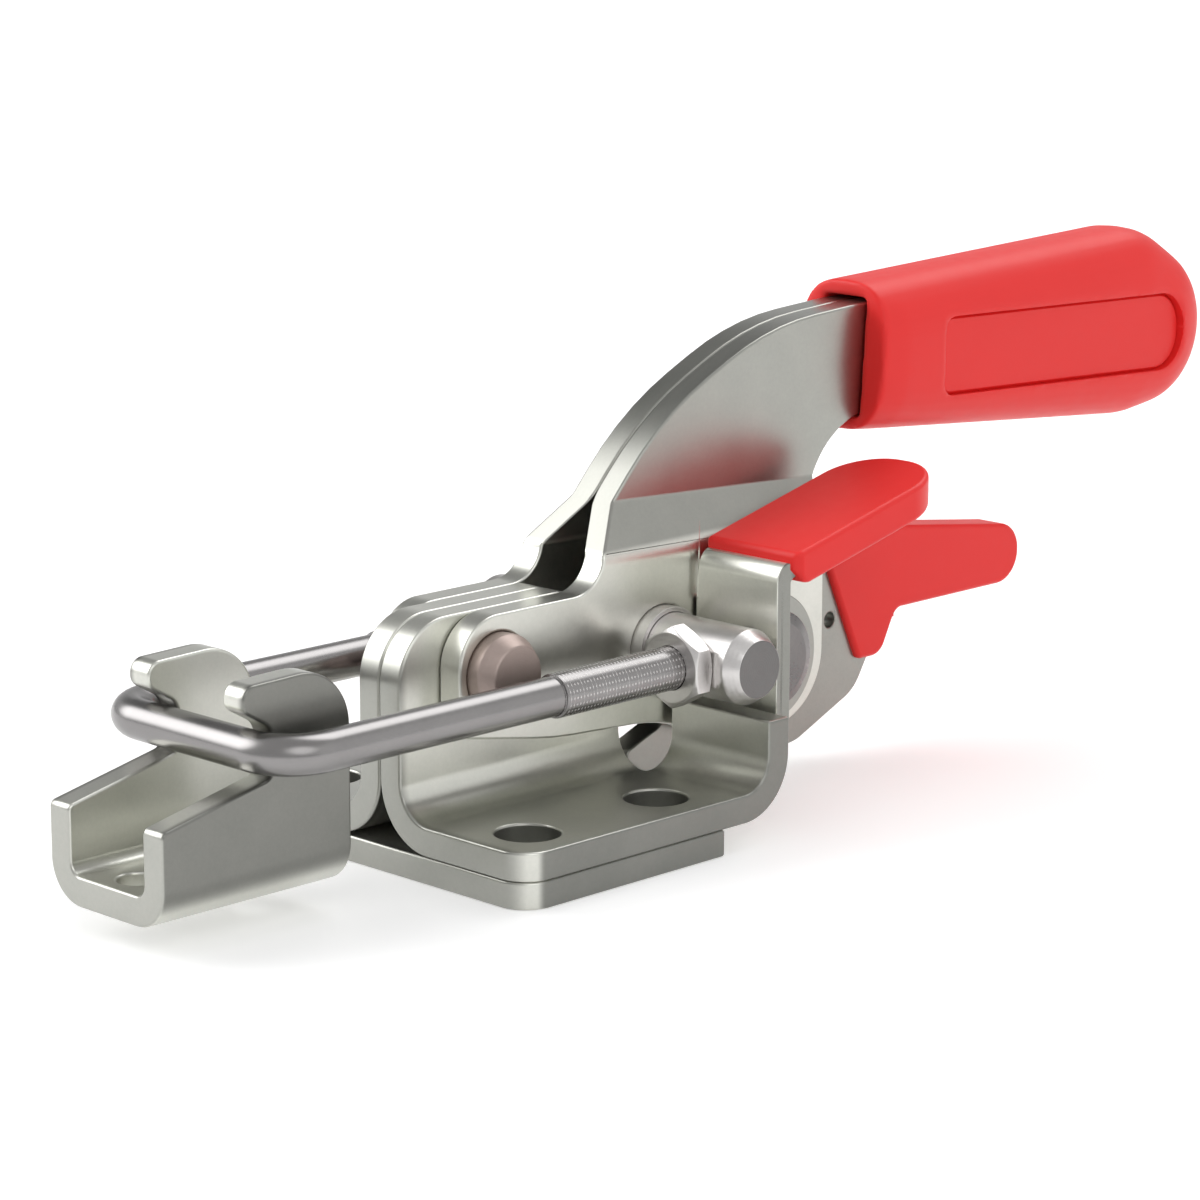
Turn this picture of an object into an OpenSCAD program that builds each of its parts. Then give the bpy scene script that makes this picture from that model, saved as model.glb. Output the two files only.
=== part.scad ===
// Pull-action toggle clamp with a hooked latch plate, shown closed.
// +X runs from the latch plate to the grip, -Y is the near side, +Z is up.
// The origin is the centre of the four base holes, on the underside of the base plate.

/* [Base] */
// Length of the base plate
base_len = 37.5; // [36.8:0.1:40]
// Width over both flanges
base_w = 55; // [52:0.1:60]
// Thickness of the base plate
base_t = 3.7; // [3:0.1:5]
// Radius of the corners of the base plate and flanges
corner_r = 4.5; // [2:0.1:6]
// Diameter of the four base holes
hole_d = 8.7; // [6:0.1:9.5]
// Distance between the holes along the clamp
hole_pitch_x = 24; // [21:0.1:25]
// Distance between the holes across the clamp
hole_pitch_y = 39; // [36:0.1:42]
// Distance from the front edge to the front holes
hole_edge = 8.2; // [7:0.1:9]

/* [Side plates] */
// Thickness of the side plates, handle plates, release lever and latch plate
plate_t = 4; // [3.5:0.1:4.2]
// Inside radius of the bend between web and flange
web_bend_r = 5; // [3:0.1:6]
// Length of the web along the clamp
web_len = 41; // [39:0.1:42]
// Height of the top of the web
web_top = 34; // [33:0.1:34.5]
// Radius of the rounded front shoulder of the web
web_shoulder_r = 8.5; // [5:0.1:10]
// How far the top of the web stops short of its foot at the rear
web_rake = 9; // [7:0.1:12]
// Height at which the rear edge of the web starts to lean forward
web_heel = 14; // [13:0.1:16]
// Distance from the front edge to the rear face of the upstands
stand_len = 50; // [49:0.1:50.2]
// Height of the top of the upstands
stand_top = 17.1; // [15:0.1:17.5]
// Inside radius of the bend between flange and upstand
stand_bend_r = 4.5; // [3:0.1:6]
// Distance from the centre plane to the inner edge of an upstand
stand_gap = 9; // [8.5:0.1:11]

/* [Pivot] */
// Distance from the front edge to the pivot pin
pivot_edge = 13.9; // [13:0.1:15]
// Height of the pivot pin
pivot_z = 26.1; // [25.6:0.1:26.4]
// Diameter of the pivot pin
pivot_d = 11; // [9:0.1:12]
// How far the pivot pin stands out of the handle plates
pivot_out = 3.9; // [3:0.1:5]
// Radial size of the chamfers at the ends of the pins
chamfer_r = 1.3; // [0.8:0.1:1.6]
// Length of the chamfers along the pins
chamfer_len = 2.1; // [1:0.1:2.4]

/* [Handle plates] */
// Side clearance between the webs and the handle plates
side_gap = 0.1; // [0.05:0.01:0.2]
// How far the front edge of the handle plates lies before the pivot
arm_front = 6.9; // [6.8:0.1:8]
// Height of the lower arm's top edge above the pivot
arm_top = 7.9; // [7.2:0.1:8.5]
// Distance from the pivot back to the neck of the handle plates
neck_x = 20.2; // [19:0.1:22]
// Height above the pivot where the plates start to close in
joggle_z = 12.4; // [12:0.1:13]
// Height over which the plates close in
joggle_h = 6.6; // [6:0.1:7]
// Inside radius of the joggle bends
joggle_r = 1; // [0.5:0.1:2]
// Slope of the joggle lines in degrees
joggle_tilt = 2.5; // [0:0.5:3]
// Height of the straight top edge above the pivot, at the grip
tang_top = 41; // [40:0.1:41.3]
// Height of the lower edge above the pivot, at the grip
tang_bottom = 24.9; // [24.5:0.1:26]
// Distance from the pivot to the end of the tang inside the grip
tang_end = 134; // [110:1:138]
// Distance from the pivot to the rear edge of the lower arms
arm_rear = 64.6; // [63:0.1:66]
// Depth of the lower arms below the pivot, at the lever pin
arm_drop = 17.3; // [16.5:0.1:18.5]

/* [Grip] */
// Distance from the pivot to the front face of the grip
grip_start = 76.7; // [75:0.1:80]
// Distance from the pivot to the centre of the upper round of the end
grip_round_x = 138.9; // [136:0.1:142]
// Height of the centre of the upper round above the pivot
grip_round_z = 31.5; // [31:0.1:32]
// Radius of the upper round
grip_round_r = 14.7; // [13.8:0.1:15.5]
// How far the lower round sits behind the upper one
grip_tail_x = 5.2; // [4:0.1:6]
// How far the lower round sits below the upper one
grip_tail_drop = 1.1; // [0.6:0.1:1.5]
// Radius of the lower round
grip_tail_r = 12.9; // [12.2:0.1:14]
// Width of the grip
grip_w = 18; // [16:0.1:22]
// How square the grip's cross-section is; 2 is an oval and more is squarer
grip_square = 2.8; // [2.4:0.1:3.4]
// Height of the grip's front face
grip_front_h = 22; // [21:0.1:23]
// Height of the middle of the front face above the pivot
grip_front_z = 32.95; // [32.8:0.05:33.3]
// Lean of the front face in degrees
grip_lean = 4; // [0:0.5:5]
// How much the grip narrows on each side towards its front face
grip_taper = 0.5; // [0.4:0.1:1.5]
// Length over which the grip narrows
grip_taper_len = 5; // [3:0.5:8]
// Depth of the bare panel on each side of the grip
panel_depth = 0.9; // [0.7:0.05:1.2]
// Height of the bare panel
panel_h = 11.8; // [8:0.1:13]
// Gap between the tang and the slot above it
slot_gap = 0.6; // [0.2:0.1:0.8]

/* [Trunnion and U-bolt] */
// Distance from the pivot to the trunnion
crank_x = 31.1; // [31:0.1:31.3]
// How far the trunnion lies below the pivot
crank_drop = 1.8; // [1.4:0.1:2.2]
// Diameter of the trunnion
trunnion_d = 10.5; // [9.5:0.1:10.8]
// Length of the trunnion
trunnion_len = 53; // [48:0.1:54]
// Wall of the trunnion bushes
bush_wall = 0.75; // [0.5:0.05:0.75]
// How far the bushes stand out of the handle plates
bush_out = 1.9; // [1:0.1:2.2]
// Distance between the two arms of the U-bolt
bolt_w = 34.3; // [33:0.1:36]
// Diameter of the smooth part of the U-bolt
shank_d = 5.34; // [5:0.01:5.5]
// Diameter over the thread
thread_d = 6; // [5.8:0.01:6.2]
// Length of the thread
thread_len = 34.8; // [20:0.1:50]
// Distance from the trunnion to the crossbar
bolt_reach = 75.7; // [74:0.1:78]
// Centre-line radius of the U-bolt's bends
bolt_bend_r = 6.3; // [5:0.1:6.3]
// How far the arms end short of the trunnion's rear
bolt_short = 0.4; // [0.1:0.1:2]
// Width of the jam nuts across their flats
nut_af = 10; // [9:0.1:11]
// Height of the jam nuts
nut_h = 3.2; // [2.5:0.1:5]
// Width of the flats on the trunnion that the jam nuts sit on
spot_d = 12.4; // [12:0.1:13]
// Depth of those flats
spot_depth = 0.6; // [0.3:0.1:1]

/* [Latch plate] */
// Width of the latch plate
latch_w = 22.5; // [20:0.1:23]
// Height of its underside above the base plane
latch_z = 3.7; // [3:0.1:4.5]
// Inside radius of the bends
latch_bend_r = 1.7; // [1:0.1:2.5]
// Distance from the crossbar forward to the front edge
latch_front = 14.8; // [13:0.1:18]
// Distance from the crossbar back to the rear edge
latch_rear = 15.8; // [14:0.1:18]
// Height of the front edge of the walls
latch_lip = 16.6; // [15:0.1:17.5]
// Height where the sloping top edges meet the throat
latch_slope_top = 20.4; // [19:0.1:21]
// Height of the top of the hooks
hook_top = 33.1; // [31.5:0.1:35]
// How far the top of the hooks falls towards their front
hook_fall = 0.45; // [0:0.05:0.5]
// How far the hooks reach forward past the crossbar's centre
hook_reach = 1.7; // [1:0.1:2.5]
// Gap between the crossbar and the throat of the hooks
hook_gap = 0.3; // [0.2:0.05:0.6]
// Diameter of the screw holes in the floor of the latch plate
latch_hole_d = 5.5; // [4:0.1:6.5]
// Distance between the two screw holes
latch_pitch = 20.6; // [18:0.1:21]

/* [Levers] */
// Distance from the pivot to the lever pin
lever_x = 50.8; // [50.5:0.1:51.5]
// How far the lever pin lies below the pivot
lever_drop = 6.3; // [5.8:0.1:6.8]
// Diameter of the lever pin
lever_pin_d = 10.5; // [8:0.1:10.5]
// Diameter of the heads of the lever pin
head_d = 14; // [12:0.1:15]
// Height of the heads
head_t = 1.6; // [1.2:0.1:2]
// Side clearance between the near handle plate and the thumb lever
ear_gap = 0.4; // [0.3:0.1:0.6]
// Sheet thickness of the thumb lever
sheet_t = 2; // [1.5:0.1:2.2]
// Radius of the ear round the lever pin
ear_r = 9.4; // [8:0.1:10]
// Distance from the trunnion to the front face of the thumb lever
wall_x = 6.4; // [6.3:0.1:6.8]
// Height of the lower edge of the thumb lever
wall_foot = 12; // [10:0.1:14]
// Outer radius of the bend at the top of the thumb lever
wall_bend_r = 2.8; // [2.3:0.1:4]
// Height of the tongue's top at the bend
tongue_z = 37.6; // [37.5:0.1:39]
// Rise of the tongue in degrees
tongue_rise = 13.7; // [12:0.1:15]
// Length of the tongue behind the front face
tongue_len = 32.9; // [27:0.1:34]
// Distance from the centre plane to the inner edge of the tongue
tongue_in = 9.6; // [9.4:0.1:11]
// Width of the tongue
tongue_w = 15.3; // [13:0.1:16]
// Thickness of the dipped vinyl on the sides and the ends
dip_t = 1; // [0.7:0.1:1.1]
// Thickness of the vinyl above and below the tongue
pad_t = 1.4; // [1:0.1:1.9]
// Width of the gap in each spacer and lever stack
stack_gap = 0.05; // [0.03:0.01:0.1]
// Diameter of the lever spacers
spacer_d = 15; // [13:0.1:17]
// Diameter of the spring hole in the release lever
spring_hole_d = 2.2; // [1.5:0.1:3]
// Distance from the lever pin back to the spring hole
spring_hole_x = 22.3; // [21:0.1:23]
// Height of the spring hole above the lever pin
spring_hole_z = 0.5; // [0:0.1:1.5]
// Wire diameter of the springs
wire_d = 1; // [0.7:0.1:1.1]
// Height of the springs' upright legs
spring_leg = 17; // [14:0.5:17]

/* [Release lever] */
// Distance from the lever pin forward to the nose
nose_x = 21.5; // [21:0.1:22.5]
// Depth of the nose below the lever pin
nose_drop = 10.9; // [10.5:0.1:11.5]
// Depth of the lower edge below the lever pin
belly_drop = 15.6; // [15:0.1:16]
// Height of the upper edge above the lever pin
crown_z = 13.4; // [12.8:0.1:13.8]
// Distance from the lever pin back to the end of the tail
tail_x = 63.9; // [58:0.1:66]
// Height of the tail's lower edge above the lever pin
tail_low = 1.2; // [0.5:0.1:1.8]
// Height of the tail's upper edge above the lever pin, at its end
tail_high = 7.9; // [7.7:0.1:9]
// Distance from the lever pin back to the finger notch under the tail
notch_x = 31.6; // [31:0.1:33]
// Height of the lower end of the vinyl above the lever pin
lobe_low = -6.3; // [-7:0.1:-6]

/* [Fits] */
// Radial clearance of the running fits
run_fit = 0.05; // [0.03:0.01:0.08]

/* [Hidden] */
$fn = 64;
arc_step = 5;
steel = "#a9aaa0";
bright = "#b9b3ae";
bronze = "#9a7d70";
vinyl = "#e8403a";

// Places worked out from the driving sizes
front_x = -hole_pitch_x / 2 - hole_edge;
half_w = base_w / 2;
flange_top = base_t + plate_t;
arm_in = plate_t + side_gap;
arm_out = arm_in + plate_t;
pivot = [front_x + pivot_edge, pivot_z];
crank = pivot + [crank_x, -crank_drop];
bar_x = crank.x - bolt_reach;
lever = pivot + [lever_x, -lever_drop];
wall_front = crank.x + wall_x;
ear_in = arm_out + ear_gap;
ear_out = ear_in + sheet_t;
wall_in = ear_in + ear_gap;
wall_out = tongue_in + tongue_w - 1.1;
tongue_end = wall_front + tongue_len;
tongue_out = tongue_in + tongue_w;
spring_hole = [spring_hole_x, spring_hole_z];

function unit(v) = v / norm(v);

// Points along the rounded corner at b between a and c; b[2] is its radius
function corner(a, b, c) =
    let (
        p = [b[0], b[1]],
        u = unit([a[0], a[1]] - p),
        v = unit([c[0], c[1]] - p),
        half = acos(max(-1, min(1, u * v))) / 2
    )
    b[2] == 0 || half > 89 ? [p] :
    let (
        centre = p + unit(u + v) * b[2] / sin(half),
        from = p + u * b[2] / tan(half) - centre,
        turn = (180 - 2 * half) * sign(u.y * v.x - u.x * v.y),
        steps = max(2, ceil(abs(turn) / arc_step))
    )
    [
        for (i = [0 : steps])
            let (a = turn * i / steps)
            centre + [from.x * cos(a) - from.y * sin(a), from.x * sin(a) + from.y * cos(a)]
    ];

// A closed outline from corners [x, y, radius]
function rounded(path) =
    let (n = len(path))
    [for (i = [0 : n - 1]) each corner(path[(i + n - 1) % n], path[i], path[(i + 1) % n])];

// Extrudes an X-Z outline across the clamp, from y0 to y1
module across(y0, y1) {
    translate([0, y1, 0]) rotate([90, 0, 0]) linear_extrude(y1 - y0) children();
}

// Extrudes a Y-Z outline along the clamp, from x0 to x1
module along(x0, x1) {
    translate([x0, 0, 0]) rotate([90, 0, 90]) linear_extrude(x1 - x0) children();
}

// A cylinder across the clamp at [x, z], from y0 to y1
module bar(at, d, y0, y1) {
    translate([at.x, y1, at.y]) rotate([90, 0, 0]) cylinder(h = y1 - y0, d = d);
}

// A pin across the clamp with chamfered ends, its middle in the centre plane
module chamfered_pin(at, d, length) {
    translate([at.x, 0, at.y]) rotate([90, 0, 0]) rotate_extrude()
        polygon([
            [0, -length / 2], [d / 2 - chamfer_r, -length / 2],
            [d / 2, -length / 2 + chamfer_len], [d / 2, length / 2 - chamfer_len],
            [d / 2 - chamfer_r, length / 2], [0, length / 2]
        ]);
}

// The near side is drawn; the far side is its mirror image, but for the thumb lever
module far_side() {
    mirror([0, 1, 0]) children();
}

module holes_in_base() {
    for (x = [-1, 1], y = [-1, 1])
        translate([x * hole_pitch_x / 2, y * hole_pitch_y / 2, -1])
            cylinder(h = flange_top + 2, d = hole_d);
}

module base_plate() {
    rear = front_x + base_len;
    color(steel)
    difference() {
        linear_extrude(base_t)
            polygon(rounded([
                [front_x, -half_w, corner_r], [rear, -half_w, corner_r / 8],
                [rear, half_w, corner_r / 8], [front_x, half_w, corner_r]
            ]));
        holes_in_base();
    }
}

// Web and flange: an angle section whose web is cut to its side outline
module web_and_flange() {
    rear = front_x + web_len;
    intersection() {
        along(front_x, rear)
            polygon(rounded([
                [0, web_top, 0], [0, base_t, web_bend_r + plate_t], [-half_w, base_t, 0],
                [-half_w, flange_top, 0], [-plate_t, flange_top, web_bend_r], [-plate_t, web_top, 0]
            ]));
        across(-half_w, 0)
            polygon(rounded([
                [front_x, base_t, 0], [front_x, web_top, web_shoulder_r],
                [rear - web_rake, web_top, 5], [rear, web_heel, 2], [rear, base_t, 0]
            ]));
    }
}

// Flange and upstand: an angle section bent up behind the holes
module flange_and_stand() {
    rear = front_x + stand_len;
    across(-half_w, -stand_gap)
        polygon(rounded([
            [0, base_t, 0], [rear, base_t, stand_bend_r + plate_t], [rear, stand_top, 0],
            [rear - plate_t, stand_top, 0], [rear - plate_t, flange_top, stand_bend_r],
            [0, flange_top, 0]
        ]));
}

module side_plate() {
    color(steel)
    difference() {
        intersection() {
            union() {
                web_and_flange();
                flange_and_stand();
            }
            linear_extrude(web_top)
                polygon(rounded([
                    [front_x, -half_w, corner_r], [front_x + stand_len, -half_w, 0],
                    [front_x + stand_len, 0, 0], [front_x, 0, 0]
                ]));
        }
        holes_in_base();
        bar(pivot, pivot_d, -half_w, half_w);
    }
}

module pivot_pin() {
    color(bronze) chamfered_pin(pivot, pivot_d, 2 * (arm_out + pivot_out));
}

// Side outline of a handle plate: lower arm, neck, swept shoulder and tang
module handle_outline() {
    translate(pivot)
        polygon(rounded([
            [-arm_front, -7.9, 2.5], [-arm_front, arm_top, 7], [neck_x - 1.4, arm_top, 5.5],
            [neck_x - 0.15, arm_top + 4.8, 2], [neck_x + 15.1, joggle_z + 17, 50],
            [neck_x + 37.1, tang_top - 1.3, 50], [grip_start, tang_top - 0.1, 0],
            [tang_end, tang_top + 0.4, 5], [tang_end, tang_bottom, 5],
            [arm_rear + 1.8, tang_bottom, 14], [arm_rear, joggle_z - 9.3, 0],
            [arm_rear, -arm_drop, 10], [lever_x - 8.7, -arm_drop, 14],
            [crank_x + 1, -12.2, 30], [10.1, -11, 60]
        ]));
}

// Cross-section of a handle plate: spread below, closed in to the centre plane above
module handle_section() {
    polygon(rounded([
        [-arm_out, -40, 0], [-arm_out, 0, joggle_r + plate_t], [-plate_t, joggle_h, joggle_r],
        [-plate_t, 60, 0], [0, 60, 0], [0, joggle_h, joggle_r + plate_t],
        [-arm_in, 0, joggle_r], [-arm_in, -40, 0]
    ]));
}

module handle_plate() {
    color(steel)
    difference() {
        intersection() {
            across(-arm_out, 0) handle_outline();
            translate([pivot.x + neck_x, 0, pivot.y + joggle_z])
                rotate([0, joggle_tilt, 0])
                along(-neck_x - arm_front - 20, tang_end) handle_section();
        }
        bar(pivot, pivot_d + 2 * run_fit, -arm_out - 1, 1);
        bar(crank, trunnion_d + 2 * bush_wall, -arm_out - 1, 1);
        bar(lever, lever_pin_d, -arm_out - 1, 1);
    }
}

// Point at angle a on the soft square that the grip's cross-sections follow
function soft_square(a) = [
    sign(cos(a)) * pow(abs(cos(a)), 2 / grip_square),
    sign(sin(a)) * pow(abs(sin(a)), 2 / grip_square)
];

// A disc across the clamp whose rim follows the soft square
module grip_disc(at, r) {
    translate([at.x, 0, at.y]) rotate([90, 0, 0]) rotate_extrude($fn = 60)
        polygon(concat(
            [[0, -grip_w / 2]],
            [for (a = [-80 : 10 : 80]) [r * soft_square(a).x, grip_w / 2 * soft_square(a).y]],
            [[0, grip_w / 2]]
        ));
}

// Cross-section of the grip near its front face, narrowed by inset on each side
module grip_section(inset) {
    polygon([
        for (a = [0 : 10 : 350])
            [(grip_w / 2 - inset) * soft_square(a).x, (grip_front_h - inset / 2) / 2 * soft_square(a).y]
    ]);
}

module grip_body() {
    upper = pivot + [grip_round_x, grip_round_z];
    hull() {
        grip_disc(upper, grip_round_r);
        grip_disc(upper + [grip_tail_x, -grip_tail_drop], grip_tail_r);
        translate([pivot.x + grip_start, 0, pivot.y + grip_front_z]) rotate([0, grip_lean, 0]) {
            along(0, 0.2) grip_section(grip_taper);
            along(grip_taper_len, grip_taper_len + 0.2) grip_section(0);
        }
    }
}

// Outline of the bare panel, square with soft corners in front and round behind
module panel_outline() {
    x0 = grip_start + 13.5;
    x1 = grip_round_x + 9.4;
    translate(pivot)
        polygon(rounded([
            [x0, grip_front_z - panel_h / 2 - 1, 2.5],
            [x1, grip_round_z - panel_h / 2 - 1.9, panel_h / 2 - 0.3],
            [x1, grip_round_z + panel_h / 2 - 1.5, panel_h / 2 - 0.3],
            [x0, grip_front_z + panel_h / 2 - 1, 2.5]
        ]));
}

module grip() {
    color(vinyl)
    difference() {
        grip_body();
        across(-plate_t - stack_gap, plate_t + stack_gap)
            translate(pivot)
            polygon([
                [grip_start - 2, tang_bottom - slot_gap - 0.6],
                [grip_start + 4, tang_bottom - stack_gap],
                [tang_end + stack_gap, tang_bottom - stack_gap],
                [tang_end + stack_gap, tang_top + 0.4 + stack_gap],
                [grip_start + 6, tang_top + stack_gap],
                [grip_start - 2, tang_top + slot_gap + 0.2]
            ]);
        for (side = [-1, 1])
            across(side * grip_w / 2 - panel_depth, side * grip_w / 2 + panel_depth)
                panel_outline();
    }
}

module trunnion_bush() {
    color(bright)
    difference() {
        bar(crank, trunnion_d + 2 * bush_wall, -arm_out - bush_out, -arm_in);
        bar(crank, trunnion_d + 2 * run_fit, -arm_out - bush_out - 1, 0);
    }
}

// An arm of the U-bolt, as a cylinder along X
module arm(d, x0, x1, side) {
    translate([x0, side * bolt_w / 2, crank.y]) rotate([0, 90, 0]) cylinder(h = x1 - x0, d = d);
}

module trunnion() {
    color(bright)
    difference() {
        chamfered_pin(crank, trunnion_d, trunnion_len);
        for (side = [-1, 1]) {
            arm(thread_d + 2 * run_fit, crank.x - trunnion_d, crank.x + trunnion_d, side);
            arm(spot_d, crank.x - trunnion_d, crank.x - trunnion_d / 2 + spot_depth, side);
        }
    }
}

module u_bolt() {
    tip = crank.x + trunnion_d / 2 - bolt_short;
    bend_x = bar_x + bolt_bend_r;
    bend_y = bolt_w / 2 - bolt_bend_r;
    color(bright) {
        for (side = [-1, 1]) {
            arm(shank_d, bend_x, tip - thread_len + 0.01, side);
            arm(thread_d, tip - thread_len, tip, side);
            translate([bend_x, side * bend_y, crank.y])
                rotate([0, 0, side > 0 ? 90 : 180])
                rotate_extrude(angle = 90)
                translate([bolt_bend_r, 0]) circle(d = shank_d);
        }
        bar([bar_x, crank.y], shank_d, -bend_y, bend_y);
    }
}

module jam_nut(side) {
    rear = crank.x - trunnion_d / 2 + spot_depth;
    color(bright)
    difference() {
        intersection() {
            translate([rear - nut_h, side * bolt_w / 2, crank.y]) rotate([0, 90, 0])
                cylinder(h = nut_h, d = nut_af / cos(30), $fn = 6);
            translate([rear - nut_h, side * bolt_w / 2, crank.y]) rotate([0, 90, 0])
                rotate_extrude()
                polygon([
                    [0, 0], [nut_af / 2 - 0.2, 0], [nut_af / 2 + 0.9, 0.6],
                    [nut_af / 2 + 0.9, nut_h - 0.6], [nut_af / 2 - 0.2, nut_h], [0, nut_h]
                ]);
        }
        arm(thread_d + 2 * run_fit, rear - nut_h - 1, rear + 1, side);
    }
}

// Side outline of the latch plate's walls, with the throat under the hooks
module latch_outline() {
    throat_x = bar_x + shank_d / 2 + hook_gap;
    front = bar_x - latch_front;
    rear = bar_x + latch_rear;
    polygon(rounded([
        [front, latch_z, 0], [front, latch_lip, 1], [throat_x, latch_slope_top, 1.5],
        [throat_x, crank.y + shank_d / 2 - 0.2, 2.5], [bar_x - hook_reach, crank.y + 5.2, 1.7],
        [bar_x - hook_reach, hook_top - hook_fall, 2], [rear, hook_top, 8], [rear, latch_z, 0]
    ]));
}

module latch_plate() {
    mid_x = bar_x + (latch_rear - latch_front) / 2;
    w = latch_w / 2;
    floor_z = latch_z + plate_t;
    color(steel)
    difference() {
        intersection() {
            across(-latch_w, latch_w) latch_outline();
            along(bar_x - 2 * latch_front, bar_x + 2 * latch_rear)
                polygon(rounded([
                    [-w, 2 * hook_top, 0], [-w, latch_z, latch_bend_r + plate_t],
                    [w, latch_z, latch_bend_r + plate_t], [w, 2 * hook_top, 0],
                    [w - plate_t, 2 * hook_top, 0], [w - plate_t, floor_z, latch_bend_r],
                    [plate_t - w, floor_z, latch_bend_r], [plate_t - w, 2 * hook_top, 0]
                ]));
        }
        for (side = [-1, 1])
            translate([mid_x + side * latch_pitch / 2, 0, latch_z - 1])
                cylinder(h = plate_t + 2, d = latch_hole_d);
    }
}

// Pin with two chamfered heads: one outside the thumb lever, one on the far handle plate
module lever_pin() {
    near = ear_out + ear_gap - 0.1;
    far = arm_out + stack_gap;
    rim = head_d / 2;
    color(bright)
    translate([lever.x, 0, lever.y]) rotate([90, 0, 0]) rotate_extrude()
        polygon([
            [0, -far - head_t], [rim - head_t, -far - head_t], [rim, 0.6 - far - head_t], [rim, -far],
            [lever_pin_d / 2, -far], [lever_pin_d / 2, near],
            [rim, near], [rim, near + head_t - 0.6], [rim - head_t, near + head_t], [0, near + head_t]
        ]);
}

// Ring between the release lever and a handle plate
module lever_spacer() {
    color(bright)
    difference() {
        bar(lever, spacer_d, stack_gap - arm_in, -plate_t / 2 - stack_gap);
        bar(lever, lever_pin_d, -arm_in, 0);
    }
}

// Slope line of the tongue's top surface, as a height at x
function tongue_top(x) = tongue_z + (x - wall_front - wall_bend_r) * tan(tongue_rise);

// Side outline of the sheet that stands behind the trunnion and bends back into a tongue
module thumb_outline() {
    drop = sheet_t / cos(tongue_rise);
    polygon(rounded([
        [wall_front, wall_foot, 0.8], [wall_front, tongue_top(wall_front), wall_bend_r],
        [tongue_end, tongue_top(tongue_end), 0], [tongue_end, tongue_top(tongue_end) - drop, 0],
        [wall_front + sheet_t, tongue_top(wall_front + sheet_t) - drop, wall_bend_r - sheet_t + 0.3],
        [wall_front + sheet_t, wall_foot, 0.8]
    ]));
}

// Plan of the thumb lever: narrow wall, wider tongue with a round end; grow widens it
module thumb_plan(grow) {
    r = tongue_w / 2 - 0.6 + grow;
    polygon(rounded([
        [wall_front - 1, -wall_in + grow, 0], [wall_front + 1.6, -wall_in + grow, 0.5],
        [wall_front + 3, -tongue_in + grow, 0.5], [tongue_end + grow, -tongue_in + grow, r],
        [tongue_end + grow, -tongue_out - grow, r], [wall_front + 2.8, -tongue_out - grow, 1],
        [wall_front + 0.8, -wall_out - grow, 1], [wall_front - 1, -wall_out - grow, 0]
    ]));
}

module thumb_lever() {
    color(steel)
    difference() {
        union() {
            intersection() {
                across(-tongue_out, -wall_in) thumb_outline();
                linear_extrude(tongue_top(tongue_end) + 1) thumb_plan(0);
            }
            across(-ear_out, -ear_in)
                polygon(rounded([
                    [wall_front, wall_foot, 0.8], [lever.x, lever.y - ear_r, 0],
                    [lever.x + ear_r, lever.y - ear_r, ear_r - 0.1],
                    [lever.x + ear_r, lever.y + ear_r, ear_r - 0.1],
                    [lever.x - 4, lever.y + ear_r, 6], [wall_front, lever.y + ear_r + 1.5, 0.5]
                ]));
        }
        bar(lever, lever_pin_d + 2 * run_fit, -ear_out - 1, 0);
    }
}

// Dipped vinyl round the tongue
module thumb_pad() {
    start = wall_front + 1.8;
    top = pad_t / cos(tongue_rise);
    drop = (sheet_t + pad_t) / cos(tongue_rise);
    color(vinyl)
    difference() {
        intersection() {
            across(-tongue_out - dip_t, -tongue_in + dip_t)
                polygon([
                    [start, tongue_top(start) + top],
                    [tongue_end + dip_t, tongue_top(tongue_end + dip_t) + top],
                    [tongue_end + dip_t, tongue_top(tongue_end + dip_t) - drop],
                    [start + 2.2, tongue_top(start + 2.2) - drop],
                    [start + 1.3, tongue_top(start + 1.3) - drop + 0.6],
                    [start, tongue_top(start) - 0.9]
                ]);
            linear_extrude(tongue_top(tongue_end) + 5) thumb_plan(dip_t);
        }
        intersection() {
            across(-tongue_out - dip_t, 0) thumb_outline();
            linear_extrude(tongue_top(tongue_end) + 5) thumb_plan(0);
        }
    }
}

// Side outline of the release lever; grow widens the tail for the vinyl
module release_outline(grow) {
    translate(lever)
        polygon(rounded([
            [-nose_x, -nose_drop, 1.1], [4.5 - nose_x, 1.5 - belly_drop, 4],
            [2, -belly_drop, 30], [14.6, -belly_drop - 1.2, 8], [28, 4.6 - belly_drop, 7],
            [notch_x + grow * 1.4, tail_low - 6.4 - grow, 2.6 + grow],
            [notch_x + 3 + grow * 1.7, tail_low - grow, 2.2],
            [tail_x + grow, tail_low - grow, 3.7 + grow],
            [tail_x + grow, tail_high + grow, 3.3 + grow],
            [21, crown_z + 0.5 + grow, 12], [2, crown_z, 12],
            [-9.2, crown_z - 7.4, 8], [-12.2, 3.3 - nose_drop, 4]
        ]));
}

module release_lever() {
    color(steel)
    difference() {
        across(-plate_t / 2, plate_t / 2) release_outline(0);
        bar(lever, lever_pin_d + 2 * run_fit, -plate_t, plate_t);
        bar(lever + spring_hole, spring_hole_d, -plate_t, plate_t);
    }
}

// Dipped vinyl on the tail of the release lever
module release_sleeve() {
    w = plate_t / 2 + dip_t;
    color(vinyl)
    difference() {
        intersection() {
            across(-w, w) release_outline(dip_t);
            across(-w, w)
                translate(lever)
                polygon(rounded([
                    [notch_x - 14.2, crown_z + 3.1, 0], [notch_x - 3.8, lobe_low, 1.5],
                    [notch_x + 1.3, lobe_low, 3], [notch_x + 4, tail_low - 2.2, 0],
                    [tail_x + 6, tail_low - 2.2, 0], [tail_x + 6, crown_z + 3.1, 0]
                ]));
        }
        across(-plate_t / 2, plate_t / 2) release_outline(0);
    }
}

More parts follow.
